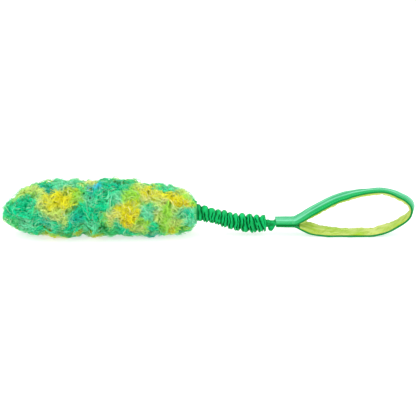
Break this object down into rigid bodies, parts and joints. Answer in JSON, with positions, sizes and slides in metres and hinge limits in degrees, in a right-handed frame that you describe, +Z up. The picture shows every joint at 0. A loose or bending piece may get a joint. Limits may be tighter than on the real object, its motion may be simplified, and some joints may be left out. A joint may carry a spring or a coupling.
{
  "type": "bungee tug toy",
  "caption": "Dog's tug toy: a stuffed roll of curly tie-dyed fur on an elastic bungee in a gathered green sleeve, with a lined webbing hand loop.",
  "frame": {"origin": "on the surface that the toy lies on, under the middle of its length and width", "axes": "+X from the fur nose to the hand loop, +Z up"},
  "size_m": [0.5636, 0.0812, 0.0797],
  "materials": {
    "fur": "matte",
    "cotton": "matte",
    "wadding": "matte",
    "body_webbing": "matte",
    "squeaker_plastic": "satin",
    "sleeve_cloth": "matte",
    "elastic": "matte",
    "thread": "matte",
    "handle_webbing": "matte",
    "handle_lining": "matte"
  },
  "bodies": {
    "tug": {"fur_cover": "fur", "inner_bag": "cotton", "stuffing_upper": "wadding", "stuffing_lower": "wadding", "body_strap": "body_webbing", "nose_tack": "thread", "mouth_hem": "cotton", "squeaker_base": "squeaker_plastic", "squeaker_reed": "squeaker_plastic", "squeaker_bellows": "squeaker_plastic"},
    "squeaker_top": {"squeaker_cap": "squeaker_plastic"},
    "rear_link": {"rear_knot": "elastic"},
    "bungee": {"bungee_sleeve": "sleeve_cloth", "bungee_cord": "elastic", "rear_whipping": "thread"},
    "front_link": {"front_whipping": "thread"},
    "neck_link": {"neck_tie": "thread"},
    "handle": {"sleeve_tab": "sleeve_cloth", "handle_strap": "handle_webbing", "handle_lining": "handle_lining", "tail_stitch_top": "thread", "tail_stitch_under": "thread", "crotch_tack_top": "thread", "crotch_tack_under": "thread"}
  },
  "joints": [
    {"name": "squeaker_press", "type": "slide", "parent": "tug", "child": "squeaker_top", "axis": [0, 0, -1], "range_m": [0, 0.005], "stiffness_N_per_m": 300, "deforming": ["squeaker_bellows"]},
    {"name": "bungee_pitch", "type": "hinge", "parent": "tug", "child": "rear_link", "pos_m": [-0.01695, 0, 0.0322], "axis": [0, -1, 0], "range_deg": [-50, 50], "stiffness_Nm_per_rad": 0.08},
    {"name": "bungee_yaw", "type": "hinge", "parent": "rear_link", "child": "bungee", "pos_m": [-0.01695, 0, 0.0322], "axis": [0, 0, 1], "range_deg": [-50, 50], "stiffness_Nm_per_rad": 0.08},
    {"name": "bungee_stretch", "type": "slide", "parent": "bungee", "child": "front_link", "axis": [0.9867, 0, -0.1627], "range_m": [0, 0.08], "stiffness_N_per_m": 800, "deforming": ["bungee_sleeve", "bungee_cord"]},
    {"name": "handle_yaw", "type": "hinge", "parent": "front_link", "child": "neck_link", "pos_m": [0.08005, 0, 0.0162], "axis": [0, 0, 1], "range_deg": [-60, 60], "stiffness_Nm_per_rad": 0.05},
    {"name": "handle_pitch", "type": "hinge", "parent": "neck_link", "child": "handle", "pos_m": [0.08005, 0, 0.0162], "axis": [0, -1, 0], "range_deg": [-60, 60], "stiffness_Nm_per_rad": 0.05}
  ]
}
